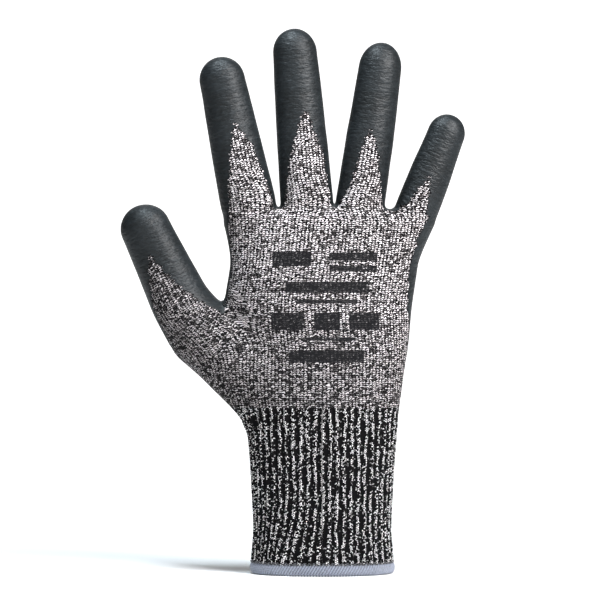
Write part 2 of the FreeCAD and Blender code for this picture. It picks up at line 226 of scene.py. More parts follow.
def digit_tube(name):
    """A digit's tube, on the line through its first and last flex lines."""
    root = JOINTS[f"{name}_root_flex"]
    hinge = np.array(root["axis"], float)
    low = np.array(root["pos_m"], float)
    high = np.array(JOINTS[f"{name}_end_flex"]["pos_m"], float)
    up = (high - low) / np.linalg.norm(high - low)
    sunk = np.cross(hinge, up)
    sunk *= math.copysign(HINGE_DEPTH, sunk[1]) / np.linalg.norm(sunk)
    origin = low - sunk - up * FIRST_BEND[name] * MM
    return make_tube(origin, up, DIGIT_ROWS[name], DOMES[name], 2.0)


TUBES = {name: digit_tube(name) for name in DIGIT_ROWS}
TUBES["hand"] = make_tube((0, 0, 0), (0, 0, 1), HAND, WEB_DOME, HAND_POWER)
DIGITS = list(DIGIT_ROWS)


def in_tube(tube, points):
    """Places of points along and across a tube, and the tube's side, half width and half depth there."""
    offset = points - tube["origin"]
    along = offset @ tube["up"]
    held = np.clip(along, tube["places"][0], tube["places"][-1])
    side, half, depth = (np.interp(held, tube["places"], column) for column in tube["columns"])
    return along, held, offset @ tube["across"] - side, half, depth


def tube_field(tube, points):
    """Distance outside a tube, below zero inside it."""
    along, held, across, half, depth = in_tube(tube, points)
    power = tube["power"]
    cap = np.full(len(points), tube["dome"])
    shares = [(np.abs(across) / half, half), (np.abs(points[:, 1]) / depth, depth),
              (np.abs(along - held) / cap, cap)]
    reach = np.maximum(sum(share ** power for share, _ in shares), LEAST_REACH) ** (1 / power)
    slope = np.sqrt(sum((share ** (power - 1) / size) ** 2 for share, size in shares))
    slope = np.maximum(slope * reach ** (1 - power), LEAST_SLOPE / half)
    return (reach - 1) / slope


def smooth_min(a, b, width):
    """The smaller of two fields, rounded where they are within a width of each other."""
    near = np.maximum(width - np.abs(a - b), 0) / width
    return np.minimum(a, b) - near * near * width / 4


def skin_field(points):
    """Distance outside the glove's outer face."""
    fingers = tube_field(TUBES["index"], points)
    for name in ("middle", "ring", "little"):
        fingers = smooth_min(fingers, tube_field(TUBES[name], points), FINGER_BLEND)
    whole = smooth_min(tube_field(TUBES["hand"], points), fingers, ROOT_BLEND)
    return smooth_min(whole, tube_field(TUBES["thumb"], points), THUMB_BLEND)


def field_slope(points, height):
    """The field's slope at points where its value is known."""
    nudge = 0.02 * MM
    return np.stack([(skin_field(points + nudge * axis) - height) / nudge for axis in np.eye(3)], axis=1)


def settle(points, rounds=3, flat=False):
    """Moves points onto the glove's outer face, level if flat is set."""
    for _ in range(rounds):
        height = skin_field(points)
        slope = field_slope(points, height)
        if flat:
            slope[:, 2] = 0
        steep = np.maximum((slope ** 2).sum(1), LEAST_STEEP)
        points = points - slope * (height / steep)[:, None]
    return points


def nearest_digit(points):
    """For each point: the nearest digit's number, its distance and the place along it."""
    fields = np.stack([tube_field(TUBES[name], points) for name in DIGITS])
    nearest = fields.argmin(0)
    along = np.stack([in_tube(TUBES[name], points)[0] for name in DIGITS])
    row = np.arange(len(points))
    return nearest, fields[nearest, row], along[nearest, row]


# ---- the skin's mesh

def tube_mesh(build, tube, low, rings=40, cap_rings=8, sides=48, inset=0.8 * MM):
    """Adds a tube's closed mesh to a bmesh, drawn in so that close neighbours stay apart when remeshed."""
    places, columns = tube["places"], tube["columns"]
    steps = [(place, 1.0) for place in np.linspace(max(places[0], low), places[-1], rings)]
    turns = np.linspace(0, math.pi / 2, cap_rings + 2)[1:-1]
    steps += [(places[-1] + (tube["dome"] - inset) * math.sin(turn), math.cos(turn)) for turn in turns]
    loops = []
    for place, share in steps:
        side, half, depth = (np.interp(place, places, column) for column in columns)
        half, depth = half - inset, depth - inset
        loop = []
        for turn in np.linspace(0, math.tau, sides, endpoint=False):
            aside = side + share * half * math.cos(turn)
            spot = tube["origin"] + tube["up"] * place + tube["across"] * aside
            loop.append(build.verts.new((spot[0], share * depth * math.sin(turn), spot[2])))
        loops.append(loop)
    for below, above in zip(loops, loops[1:]):
        for number in range(sides):
            after = (number + 1) % sides
            build.faces.new((below[number], below[after], above[after], above[number]))
    build.faces.new(loops[0][::-1])
    build.faces.new(loops[-1])


def remeshed_skin():
    """The whole outer face above the cuff as an even mesh: points and faces."""
    build = bmesh.new()
    for name, tube in TUBES.items():
        tube_mesh(build, tube, WRIST_LINE - SKIN_FOOT if name == "hand" else -math.inf)
    mesh = bpy.data.meshes.new("skin_source")
    build.to_mesh(mesh)
    build.free()
    source = bpy.data.objects.new("skin_source", mesh)
    bpy.context.scene.collection.objects.link(source)
    remesh = source.modifiers.new("even", "REMESH")
    remesh.mode = "VOXEL"
    remesh.voxel_size = VOXEL
    bpy.context.view_layer.update()
    even = source.evaluated_get(bpy.context.evaluated_depsgraph_get()).to_mesh()
    points = np.zeros(len(even.vertices) * 3)
    even.vertices.foreach_get("co", points)
    edges = np.zeros(len(even.edges) * 2, int)
    even.edges.foreach_get("vertices", edges)
    faces = [tuple(face.vertices) for face in even.polygons]
    bpy.data.objects.remove(source)
    return points.reshape(-1, 3), edges.reshape(-1, 2), faces


def relaxed(points, edges, rounds=4):
    """Evens out the spacing of the points over the face."""
    for _ in range(rounds):
        count = np.bincount(edges.ravel(), minlength=len(points))
        total = np.stack([np.bincount(edges[:, 0], points[edges[:, 1], axis], len(points))
                          + np.bincount(edges[:, 1], points[edges[:, 0], axis], len(points))
                          for axis in range(3)], axis=1)
        points = settle(0.5 * points + 0.5 * total / count[:, None], 1)
    return settle(points, 2)


def face_middles(build):
    """The middle of every face of a bmesh."""
    build.faces.ensure_lookup_table()
    return np.array([face.calc_center_median() for face in build.faces])


def cut_skin(build, keep, place, normal):
    """Cuts the faces that keep picks from their middles by a plane."""
    chosen = keep(face_middles(build))
    faces = [face for face, picked in zip(build.faces, chosen) if picked]
    edges = {edge for face in faces for edge in face.edges}
    verts = {vert for face in faces for vert in face.verts}
    bmesh.ops.bisect_plane(build, geom=list(verts) + list(edges) + faces, dist=1e-6,
                           plane_co=Vector(place), plane_no=Vector(normal))


def digit_cuts(name):
    """Places along a digit where its pieces part."""
    zones = ZONES[name]
    middles = [(low[1] + high[0]) / 2 for low, high in zip(zones, zones[1:])]
    return [0.0] + [middle * MM for middle in middles]


def cut_into_stretches(build):
    """Cuts the skin along the lines where pieces meet."""
    cut_skin(build, lambda middles: middles[:, 0] > -math.inf, (0, 0, WRIST_LINE), (0, 0, 1))
    cut_skin(build, lambda middles: middles[:, 0] > THUMB_BORDER, (0, 0, KNUCKLE_ZONE[0]), (0, 0, 1))
    for number, name in enumerate(DIGITS):
        tube = TUBES[name]

        def on_digit(middles, wanted=number):
            nearest, distance, along = nearest_digit(middles)
            return (nearest == wanted) & (along > -ROOT_MARGIN) & (distance < NEAR_DIGIT)

        for place in digit_cuts(name):
            cut_skin(build, on_digit, tube["origin"] + tube["up"] * place, tube["up"])


def piece_of(middles):
    """The name of the piece that each face belongs to."""
    nearest, distance, along = nearest_digit(middles)
    names = np.where(middles[:, 2] < KNUCKLE_ZONE[0], "palm", "knuckle").astype(object)
    names[(nearest == DIGITS.index("thumb")) & (distance < NEAR_DIGIT)] = "palm"
    names[(names == "palm") & (middles[:, 2] < WRIST_LINE)] = ""
    for number, name in enumerate(DIGITS):
        mine = (nearest == number) & (distance < NEAR_DIGIT) & (along > 0)
        level = np.searchsorted(digit_cuts(name), along) - 1
        for index, segment in enumerate(SEGMENTS.get(name, FINGER_SEGMENTS)):
            names[mine & (level == index)] = f"{name}_{segment}"
    return names


# ---- stitches and the coating's edge

def girth(across, depth_place, half, depth):
    """Distance round a tube from the middle of its back, and a quarter of its girth."""
    quarter = half + DEPTH_SHARE * depth
    near = np.abs(across) + DEPTH_SHARE * (depth - np.minimum(np.abs(depth_place), depth))
    round_by = np.where(depth_place < 0, near, 2 * quarter - near)
    return np.sign(across) * round_by, quarter


def on_tube(tube, points):
    """Distance round and along a tube, and a quarter of its girth."""
    along, _, across, half, depth = in_tube(tube, points)
    round_by, quarter = girth(across, points[:, 1], half, depth)
    return round_by, along, quarter


def between(values, low, high):
    """0 at low, 1 at high, rounded at both ends; low may be the greater."""
    share = np.clip((values - low) / (high - low), 0, 1)
    return share * share * (3 - 2 * share)


def plain_stitches(points):
    """Place of points in the knit of the hand: across the wales and along the courses."""
    round_by, along, _ = on_tube(TUBES["hand"], points)
    return np.stack([round_by, along], axis=1)


def digit_stitches(points, name):
    """Place of points in a digit's knit, counted on from the hand's knit at the digit's anchor."""
    tube = TUBES[name]
    anchor = tube["origin"]
    if name == "thumb":
        anchor = anchor + tube["up"] * THUMB_SEAM[1] + tube["across"] * THUMB_SEAM[0]
    back = np.array([[anchor[0], BEHIND, anchor[2]]])
    starts = [np.stack(on_tube(tube, spots)[:2], axis=1) for spots in (points, back)]
    return starts[0] - starts[1] + plain_stitches(back)


def stitches(points, piece):
    """Place of points in the knit: across the wales and along the courses, in metres."""
    plain = plain_stitches(points)
    digit = piece.split("_")[0]
    if digit == "thumb":
        return digit_stitches(points, digit)
    if digit in DIGIT_ROWS:
        rise = in_tube(TUBES[digit], points)[0]
        weight = between(rise, 0, FINGER_MIX)
        return plain + weight[:, None] * (digit_stitches(points, digit) - plain)
    rise = in_tube(TUBES["thumb"], points)[0]
    distance = np.maximum(tube_field(TUBES["thumb"], points), 0)
    weight = between(rise, *THUMB_MIX) * between(distance, THUMB_MIX_REACH, 0)
    return plain + weight[:, None] * (digit_stitches(points, "thumb") - plain)


def spread_noise(points, size, spacing, seed):
    """Soft random values at points, up to about half a size each way."""
    shift = Vector((seed, seed * 0.37, -seed))
    return np.array([noise.noise(Vector(point) / spacing + shift) for point in points]) * 0.5 * size


def coated(middles, pieces):
    """Whether each face is under the coating, whose edge follows whole stitches."""
    result = np.zeros(len(middles), bool)
    nearest, distance, along_near = nearest_digit(middles)
    thumb = DIGITS.index("thumb")
    crotch = (nearest == thumb) & (along_near > CROTCH_START) & (distance < NEAR_DIGIT)
    for piece in sorted(set(pieces)):
        mine = pieces == piece
        points = middles[mine]
        digit = piece.split("_")[0]
        if digit in DIGIT_ROWS:
            result[mine] = outside_bare(points, digit)
            continue
        height = (np.floor(points[:, 2] / COURSE) + 0.5) * COURSE
        by_little = np.interp(height, *(np.array(LITTLE_EDGE, float).T * MM))
        by_thumb = np.interp(height, *(np.array(THUMB_EDGE, float).T * MM))
        edge = np.where(points[:, 0] > EDGE_SPLIT, by_little, by_thumb) + spread_noise(points, *RAGGED)
        above_foot = height > COAT_FOOT + spread_noise(points, *FOOT_WAVE)
        result[mine] = (points[:, 1] > edge) & above_foot
        at_crotch = mine & crotch
        result[at_crotch] = outside_bare(middles[at_crotch], "thumb")
    return result


def stitch_chance(row, column):
    """A random value from 0 to 1 for each stitch, the same on every run."""
    wild = np.sin(row * 12.9898 + column * 78.233) * 43758.5453
    return wild - np.floor(wild)


def outside_bare(points, digit):
    """Whether points of a digit lie outside the bare stretch of its back."""
    if not len(points):
        return np.zeros(0, bool)
    round_by, along, quarter = on_tube(TUBES[digit], points)
    row = np.floor(along / COURSE)
    column = np.floor(round_by / WALE + 0.5 * (row % 2))
    place = (row + 0.5) * COURSE
    share = (column + 0.5 - 0.5 * (row % 2)) * WALE / quarter
    share = share + STITCH_RAGGED * (stitch_chance(row, column) - 0.5)
    table = np.array(BARE[digit], float)
    left = np.interp(place, table[:, 0] * MM, table[:, 1])
    right = np.interp(place, table[:, 0] * MM, table[:, 2])
    return (share < left) | (share > right) | (place > table[-1, 0] * MM)


def refine_coat_edge(build):
    """Divides the faces near the coating's edge, so that the edge can step from stitch to stitch."""
    middles = face_middles(build)
    pieces = piece_of(middles)
    mixed = np.zeros(len(middles), int)
    shifts = np.concatenate([np.zeros((1, 3)), np.eye(3), -np.eye(3)]) * EDGE_BAND
    for shift in shifts:
        mixed += coated(middles + shift, pieces)
    split = (mixed > 0) & (mixed < len(shifts)) & (pieces != "")
    edges = {edge for face, picked in zip(build.faces, split) if picked for edge in face.edges}
    bmesh.ops.subdivide_edges(build, edges=list(edges), cuts=3, use_grid_fill=True)


def skin_normals(points, faces):
    """Smooth normals of the whole skin."""
    total = np.zeros_like(points)
    for face in faces:
        corners = points[list(face)]
        area = np.cross(corners[2] - corners[0], corners[-1] - corners[1])
        total[list(face)] += area
    return total / np.maximum(np.linalg.norm(total, axis=1), 1e-12)[:, None]


def build_skin():
    """Points, normals and faces of the skin, with each face's piece and whether it is coated."""
    points, edges, faces = remeshed_skin()
    points = relaxed(settle(points), edges)
    build = bmesh.new()
    verts = [build.verts.new(point) for point in points]
    for face in faces:
        build.faces.new([verts[index] for index in face])
    cut_into_stretches(build)
    refine_coat_edge(build)
    build.verts.index_update()
    points = settle(np.array([vert.co for vert in build.verts]), 2)
    faces = [[vert.index for vert in face.verts] for face in build.faces]
    build.free()
    normals = skin_normals(points, faces)
    swell = sum(spread_noise(points, *kind) for kind in SWELLS)
    points = points + normals * swell[:, None]
    normals = skin_normals(points, faces)
    middles = np.array([points[face].mean(0) for face in faces])
    pieces = piece_of(middles)
    return points, normals, faces, pieces, coated(middles, pieces)


# ---- pieces

def add_piece(name, points, faces, material, normals=None, layers=None):
    """A mesh object with smooth faces, its own normals and named values at its points."""
    mesh = bpy.data.meshes.new(name)
    mesh.from_pydata([tuple(point) for point in points], [], faces)
    for face in mesh.polygons:
        face.use_smooth = True
    for layer, values in (layers or {}).items():
        attribute = mesh.attributes.new(layer, "FLOAT_VECTOR", "POINT")
        attribute.data.foreach_set("vector", np.ascontiguousarray(values, np.float32).ravel())
    if normals is not None:
        mesh.normals_split_custom_set_from_vertices([tuple(normal) for normal in normals])
    mesh.materials.append(material)
    piece = bpy.data.objects.new(name, mesh)
    bpy.context.scene.collection.objects.link(piece)
    return piece


def taken(faces):
    """The points that some faces use, their new numbers, and the faces renumbered."""
    used = sorted({index for face in faces for index in face})
    number = {old: new for new, old in enumerate(used)}
    return used, number, [[number[index] for index in face] for face in faces]


def layers_of(points, piece):
    """The values that the materials read: place in the knit, place on the glove, place on the digit."""
    digit = piece.split("_")[0]
    knit = np.zeros((len(points), 3))
    knit[:, :2] = stitches(points, piece)
    own = points
    if digit in DIGIT_ROWS:
        along, _, across, _, _ = in_tube(TUBES[digit], points)
        own = np.stack([across, points[:, 1], along], axis=1)
    return {"stitch": knit / MM, "rest": points / MM, "own": own / MM}


def knit_piece(piece, points, normals, faces, material):
    """A stretch of the knit liner, with its outer and inner faces."""
    used, _, faces = taken(faces)
    points, normals = points[used], normals[used]
    layers = layers_of(points, piece)
    count = len(points)
    inner = [[index + count for index in reversed(face)] for face in faces]
    both = np.concatenate([points, points - normals * LINER_WALL])
    doubled = {name: np.concatenate([values, values]) for name, values in layers.items()}
    tilt = np.concatenate([normals, -normals])
    return add_piece(f"{piece}_knit", both, faces + inner, material, tilt, doubled)


def coat_piece(piece, points, normals, faces, rims, material):
    """A stretch of the coating, standing proud of the knit, with a rounded lip at its free edge."""
    sides = {side: None for face in faces for side in zip(face, face[1:] + face[:1])}
    free = [side for side in sides if side[::-1] not in sides and frozenset(side) in rims]
    lip = {index for side in free for index in side}
    used, number, renumbered = taken(faces)
    rise = np.array([LIP_SHARE if index in lip else 1.0 for index in used]) * COAT_RISE
    top = points[used] + normals[used] * rise[:, None]
    feet = {old: len(used) + new for new, old in enumerate(sorted(lip))}
    foot = [points[old] - normals[old] * LIP_FOOT for old in sorted(lip)]
    skirt = [[number[end], number[start], feet[start], feet[end]] for start, end in free]
    layers = layers_of(points[used + sorted(lip)], piece)
    every = np.concatenate([top, np.array(foot).reshape(-1, 3)])
    tilt = np.concatenate([normals[used], normals[sorted(lip)] if lip else np.zeros((0, 3))])
    return add_piece(f"{piece}_coat", every, renumbered + skirt, material, tilt, layers)


def attach(obj, piece, slot, *nodes):
    """Bakes a piece's placement into its mesh and hides the CAD nodes that it stands for."""
    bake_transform(obj)
    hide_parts(*nodes)


def build_hand(knit, coat):
    """All pieces of the liner and the coating above the cuff."""
    points, normals, faces, pieces, wet = build_skin()
    owners = {}
    for face, piece, is_wet in zip(faces, pieces, wet):
        for start, end in zip(face, face[1:] + face[:1]):
            owners.setdefault(frozenset((start, end)), []).append(is_wet)
    rims = {side for side, found in owners.items() if len(set(found)) > 1}
    for piece in sorted(set(pieces) - {""}):
        mine = [face for face, owner in zip(faces, pieces) if owner == piece]
        attach(knit_piece(piece, points, normals, mine, knit), piece, "knit", f"{piece}_liner")
        covered = [face for face, owner, is_wet in zip(faces, pieces, wet) if owner == piece and is_wet]
        attach(coat_piece(piece, points, normals, covered, rims, coat), piece, "coating", f"{piece}_coating")


# ---- the cuff

def outline(height, count):
    """Evenly spaced points round the cuff at a height, from the middle of the back."""
    tube = TUBES["hand"]
    side, half, depth = (np.interp(height, tube["places"], column) for column in tube["columns"])
    turn = np.linspace(0, math.tau, OUTLINE_STEPS + 1)
    power = 2 / HAND_POWER
    x = side + half * np.sign(np.sin(turn)) * np.abs(np.sin(turn)) ** power
    y = -depth * np.sign(np.cos(turn)) * np.abs(np.cos(turn)) ** power
    walked = np.concatenate([[0], np.cumsum(np.hypot(np.diff(x), np.diff(y)))])
    stops = np.linspace(0, walked[-1], count, endpoint=False)
    level = np.full(count, height)
    return np.stack([np.interp(stops, walked, x), np.interp(stops, walked, y), level], axis=1)


def cuff_grid(heights, count):
    """Rows of points round the cuff on the glove's outer face, and their outward directions."""
    rows = np.concatenate([outline(height, count) for height in heights])
    rows = settle(rows, 3, flat=True)
    outward = field_slope(rows, skin_field(rows))
    outward[:, 2] = 0
    outward /= np.linalg.norm(outward, axis=1)[:, None]
    return rows, outward


def grid_faces(rows, count, inward=False, ring=False):
    """Faces of rows of points, each row closed on itself; in a ring the last row also joins the first."""
    faces = []
    for row in range(rows if ring else rows - 1):
        above = (row + 1) % rows
        for column in range(count):
            after = (column + 1) % count
            corners = [row * count + column, row * count + after,
                       above * count + after, above * count + column]
            faces.append(corners[::-1] if inward else corners)
    return faces


def rib_relief(column, points):
    """At points of the cuff: how far the columns wander, how far up a rib's side they are, and their rise."""
    side, _, height = points.T
    nearest = np.floor(column + 0.5)
    wander = sum(share * np.sin(height / size + nearest % RIBS * turn) for share, size, turn in RIB_WANDER)
    fan = FAN * between(height, FAN_TOP, 0) * between(side, *FAN_RIGHT) * between(side, *FAN_LEFT)
    wander = wander * np.cos(math.pi * (column - nearest)) + fan
    crest = 0.5 + 0.5 * np.cos(math.tau * (column + wander))
    ridge = between(crest, *RIB_EDGES)
    fade_height, fade_share = RIB_FADE
    fade = 1 - fade_share * between(height, WRIST_LINE - fade_height, WRIST_LINE)
    tuck, tuck_start, tuck_end = HEM_TUCK
    tucked = tuck * between(height, HEM_TOP + tuck_start, HEM_TOP + tuck_end)
    bead = RIB_BEAD * np.cos(math.tau * (height / RIB_COURSE + 0.5 * nearest)) * ridge
    rise = (bead - RIB_DEPTH * (1 - ridge)) * fade - RIB_UNDER * (height > WRIST_LINE) - tucked
    return wander, ridge, rise


def build_rib(material):
    """The ribbed cuff: raised columns of stitches with deep grooves between them, and a plain inside."""
    per_rib, per_course = ((7, 3.6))
    count = RIBS * per_rib
    rows = int((WRIST_LINE + TUCK - RIB_FOOT) / RIB_COURSE * per_course)
    points, outward = cuff_grid(np.linspace(RIB_FOOT, WRIST_LINE + TUCK, rows), count)
    column = np.tile(np.arange(count), rows) / per_rib
    wander, ridge, rise = rib_relief(column, points)
    outer = points + outward * rise[:, None]
    knit = np.stack([column + wander, points[:, 2] / RIB_COURSE, ridge], axis=1)
    inner_count, inner_rows = 120, 40
    inner, inner_out = cuff_grid(np.linspace(RIB_FOOT, WRIST_LINE + TUCK, inner_rows), inner_count)
    inner = inner - inner_out * RIB_WALL
    inner_column = np.tile(np.arange(inner_count), inner_rows) / inner_count * RIBS
    inner_knit = np.stack([inner_column, inner[:, 2] / RIB_COURSE, np.full(len(inner), 0.5)], axis=1)
    inside = [[index + len(outer) for index in face] for face in grid_faces(inner_rows, inner_count, True)]
    every = np.concatenate([outer, inner])
    layers = {"stitch": np.concatenate([knit, inner_knit]), "rest": every / MM}
    rib = add_piece("cuff_rib_knit", every, grid_faces(rows, count) + inside, material, None, layers)
    attach(rib, "rib", "rib", "cuff_rib")


def swept(points, radius, sides=6):
    """A round thread along closed points: its points and faces."""
    count = len(points)
    ahead = np.roll(points, -1, axis=0) - np.roll(points, 1, axis=0)
    ahead /= np.linalg.norm(ahead, axis=1)[:, None]
    lift = np.tile((0.0, 0.0, 1.0), (count, 1))
    lift[np.abs(ahead[:, 2]) > 0.9] = (1.0, 0.0, 0.0)
    aside = np.cross(ahead, lift)
    aside /= np.linalg.norm(aside, axis=1)[:, None]
    for index in range(1, count):
        carried = aside[index - 1] - ahead[index] * (aside[index - 1] @ ahead[index])
        aside[index] = carried / np.linalg.norm(carried)
    above = np.cross(aside, ahead)
    turns = np.linspace(0, math.tau, sides, endpoint=False)
    rings = [points + radius * (aside * math.cos(turn) + above * math.sin(turn)) for turn in turns]
    return np.stack(rings, axis=1).reshape(-1, 3), grid_faces(count, sides, ring=True)


def band_frame(height, count, inset):
    """Points and outward directions round the cuff, drawn in by an inset."""
    points, outward = cuff_grid([height], count)
    return points - outward * inset, outward


def hem_piece(name, shape, material, *nodes):
    """A piece of the hem, which moves with the cuff."""
    points, faces = shape
    obj = add_piece(name, points, faces, material, None, {"rest": points / MM})
    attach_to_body(obj, "cuff")
    if nodes:
        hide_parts(*nodes)


def build_hem(band_material, thread_material, chain_material):
    """The overlocked foot of the cuff: a soft band, the thread wound over it and the chain along its top."""
    count, sides = 240, 20
    middle, outward = band_frame(HEM_TOP / 2, count, HEM_INSET)
    rings = []
    for turn in np.linspace(0, math.tau, sides, endpoint=False):
        ring = middle + outward * (HEM_HALF_THICK * math.cos(turn))
        ring[:, 2] += HEM_HALF_HEIGHT * math.sin(turn)
        rings.append(ring)
    band = np.concatenate(rings), grid_faces(sides, count, ring=True)
    hem_piece("hem_soft_band", band, band_material, "hem_band")

    total = OVERLOCK_LOOPS * OVERLOCK_STEPS
    middle, outward = band_frame(HEM_TOP / 2, total, HEM_INSET)
    turn = math.tau * np.arange(total) / OVERLOCK_STEPS
    lean = np.round(OVERLOCK_LEAN * OVERLOCK_STEPS * np.sin(turn)).astype(int)
    order = (np.arange(total) + lean) % total
    out, above = OVERLOCK_PROUD
    thread = middle[order] + outward[order] * ((HEM_HALF_THICK + out) * np.cos(turn))[:, None]
    thread[:, 2] += (HEM_HALF_HEIGHT + above) * np.sin(turn)
    hem_piece("hem_overlock_thread", swept(thread, OVERLOCK_RADIUS), thread_material)

    chain, outward = band_frame(HEM_TOP + CHAIN_OFFSET, CHAIN_STEPS, CHAIN_OFFSET)
    turn = math.tau * np.arange(CHAIN_STEPS) * CHAIN_LOOPS / CHAIN_STEPS
    swing_out, swing_up = CHAIN_SWING
    chain = chain + outward * (swing_out * np.cos(2 * turn))[:, None]
    chain[:, 2] += swing_up * np.sin(turn)
    hem_piece("hem_chain_thread", swept(chain, CHAIN_RADIUS), chain_material)


def build_threads(material):
    """The elastic threads inside the rib."""
    low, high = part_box("cuff_elastic_threads")
    points, faces = [], []
    for height in np.linspace(low.z, high.z, ELASTIC_RINGS):
        middle, _ = band_frame(height, 120, ELASTIC_INSET)
        ring, ring_faces = swept(middle, ELASTIC_RADIUS)
        faces += [[index + len(ring) * len(points) for index in face] for face in ring_faces]
        points.append(ring)
    points = np.concatenate(points)
    threads = add_piece("elastic_threads", points, faces, material, None, {"rest": points / MM})
    attach(threads, "threads", "elastic", "cuff_elastic_threads")


# ---- materials

class Nodes:
    """Short ways to put a material together."""

    def __init__(self, name):
        self.material = bpy.data.materials.new(name)
        self.material.use_nodes = True
        self.tree = self.material.node_tree
        self.shader = self.tree.nodes["Principled BSDF"]

    def put(self, socket, value):
        """Links a socket to an input, or sets the input to a plain value."""
        if isinstance(value, bpy.types.NodeSocket):
            self.tree.links.new(value, socket)
        elif value is not None:
            socket.default_value = value

    def surface(self, name, value):
        """Sets one input of the surface shader."""
        self.put(self.shader.inputs[name], value)

    def make(self, kind, values, output=0, **settings):
        """A new node's output, once its settings and its inputs, by place or by name, are set."""
        node = self.tree.nodes.new(kind)
        for name, value in settings.items():
            setattr(node, name, value)
        for key, value in values.items() if isinstance(values, dict) else enumerate(values):
            self.put(node.inputs[key], value)
        return node.outputs[output]

    def maths(self, operation, *values):
        """The result of one sum."""
        return self.make("ShaderNodeMath", values, operation=operation)

    def times(self, first, second, *added):
        """A product, plus a third value where there is one."""
        return self.maths("MULTIPLY_ADD" if added else "MULTIPLY", first, second, *added)

    def less(self, first, second):
        """A difference."""
        return self.maths("SUBTRACT", first, second)

    def layer(self, name):
        """A named vector stored at the mesh's points."""
        return self.make("ShaderNodeAttribute", (), "Vector", attribute_name=name)

    def parts(self, vector):
        """The three parts of a vector."""
        node = self.tree.nodes.new("ShaderNodeSeparateXYZ")
        self.put(node.inputs[0], vector)
        return node.outputs

    def vector(self, x, y):
        """A flat vector from its parts."""
        return self.make("ShaderNodeCombineXYZ", (x, y))

    def scaled(self, vector, scale):
        """A vector times another, part by part."""
        return self.make("ShaderNodeVectorMath", (vector, scale), operation="MULTIPLY")

    def noise(self, vector, scale, detail=2.0, rough=0.5):
        """Soft noise, 0 to 1."""
        values = {"Vector": vector, "Scale": scale, "Detail": detail, "Roughness": rough}
        return self.make("ShaderNodeTexNoise", values, "Fac")

    def random(self, vector):
        """One random value for each whole-number cell."""
        return self.make("ShaderNodeTexWhiteNoise", {"Vector": vector}, "Value", noise_dimensions="2D")

    def between(self, value, low, high):
        """0 below low, 1 above high, rounded between."""
        values = {"Value": value, "From Min": low, "From Max": high}
        return self.make("ShaderNodeMapRange", values, "Result", interpolation_type="SMOOTHSTEP")

    def mix(self, share, first, second):
        """One colour passing into another."""
        values = {"Factor": share, "A": first, "B": second}
        return self.make("ShaderNodeMix", values, "Result", data_type="RGBA")

    def bump(self, height, distance, under=None, strength=1.0):
        """A bumped normal; distance is in metres."""
        values = {"Height": height, "Distance": distance, "Strength": strength, "Normal": under}
        return self.make("ShaderNodeBump", values, "Normal")


def colour(red, green, blue):
    """A colour in linear light."""
    return (red, green, blue, 1.0)


YARN_LIGHT = colour(0.95, 0.885, 0.895)
RIB_LIGHT = colour(1.0, 0.97, 0.97)
YARN_GREY = colour(0.20, 0.185, 0.185)
YARN_DARK = colour(0.004, 0.0037, 0.004)
COAT_COLOUR = colour(0.0080, 0.0105, 0.0120)
YARN_SAND = colour(0.55, 0.46, 0.44)
INK = colour(0.008, 0.008, 0.009)
COAT_WORN = colour(0.016, 0.020, 0.023)
# painted shade in the hollows of the coating's creases
COAT_CREASE_SHADE = colour(0.0045, 0.0055, 0.006)
HEM_COLOUR = colour(0.25, 0.27, 0.33)
BAND_COLOUR = colour(0.10, 0.11, 0.15)
CHAIN_COLOUR = colour(0.035, 0.035, 0.04)
ELASTIC_COLOUR = colour(0.10, 0.10, 0.10)

# The printed bars on the back: middle across and up, half width and half height, in millimetres.
PRINT_BARS = ((-14, 144, 9, 3.4), (14, 145, 11, 2.0), (14, 139.5, 11, 1.4), (2, 131, 19, 2.6),
              (2, 124.5, 14, 1.0), (-16, 115.5, 7.5, 4.0), (2, 115.5, 6, 4.0), (19, 115.5, 7, 4.0),
              (3, 107.5, 12, 0.9), (2, 99.5, 17, 2.8))


def yarn_cells(nodes, across, along, width, height, slant):
    """One stitch in each cell: how much of its light yarn shows, and the cell's random value."""
    column = nodes.maths("FLOOR", across)
    in_column = nodes.less(nodes.maths("FRACT", across), 0.5)
    tilt = nodes.times(nodes.maths("ABSOLUTE", in_column), slant)
    raised = nodes.maths("ADD", along, tilt)
    row = nodes.maths("FLOOR", raised)
    in_row = nodes.less(nodes.maths("FRACT", raised), 0.5)
    chance = nodes.random(nodes.vector(column, row))
    turn = nodes.times(nodes.less(nodes.random(nodes.vector(row, column)), 0.5), 1.1)
    leaning = nodes.times(in_column, turn, in_row)
    far_across = nodes.maths("DIVIDE", in_column, width)
    far_along = nodes.maths("DIVIDE", leaning, height)
    far = nodes.maths("ADD", nodes.times(far_across, far_across), nodes.times(far_along, far_along))
    body = nodes.less(1.0, nodes.between(far, 0.45, 1.05))
    return body, chance


def yarn_surface(nodes, plain, fibre, body, depth):
    """Finishes a knit material: matt and fuzzy, in a plain colour, with stitches of some depth."""
    nodes.surface("Base Color", plain)
    nodes.surface("Roughness", nodes.times(fibre, 0.15, 0.78))
    nodes.surface("Specular IOR Level", 0.08)
    fuzz = nodes.bump(fibre, 0.10 * MM)
    nodes.surface("Normal", nodes.bump(body, depth, fuzz))
    return nodes.material


def print_mask(nodes, rest):
    """A plain block of printed bars on the back of the hand."""
    x, y, z = nodes.parts(rest)
    total = 0.0
    for bar_x, bar_z, half_width, half_height in PRINT_BARS:
        beside = nodes.less(nodes.maths("ABSOLUTE", nodes.less(x, bar_x)), half_width)
        above = nodes.less(nodes.maths("ABSOLUTE", nodes.less(z, bar_z)), half_height)
        outside = nodes.maths("MAXIMUM", beside, above)
        total = nodes.maths("MAXIMUM", total, nodes.less(1.0, nodes.between(outside, -0.3, 0.2)))
    return nodes.times(total, nodes.between(y, 2.0, -2.0))


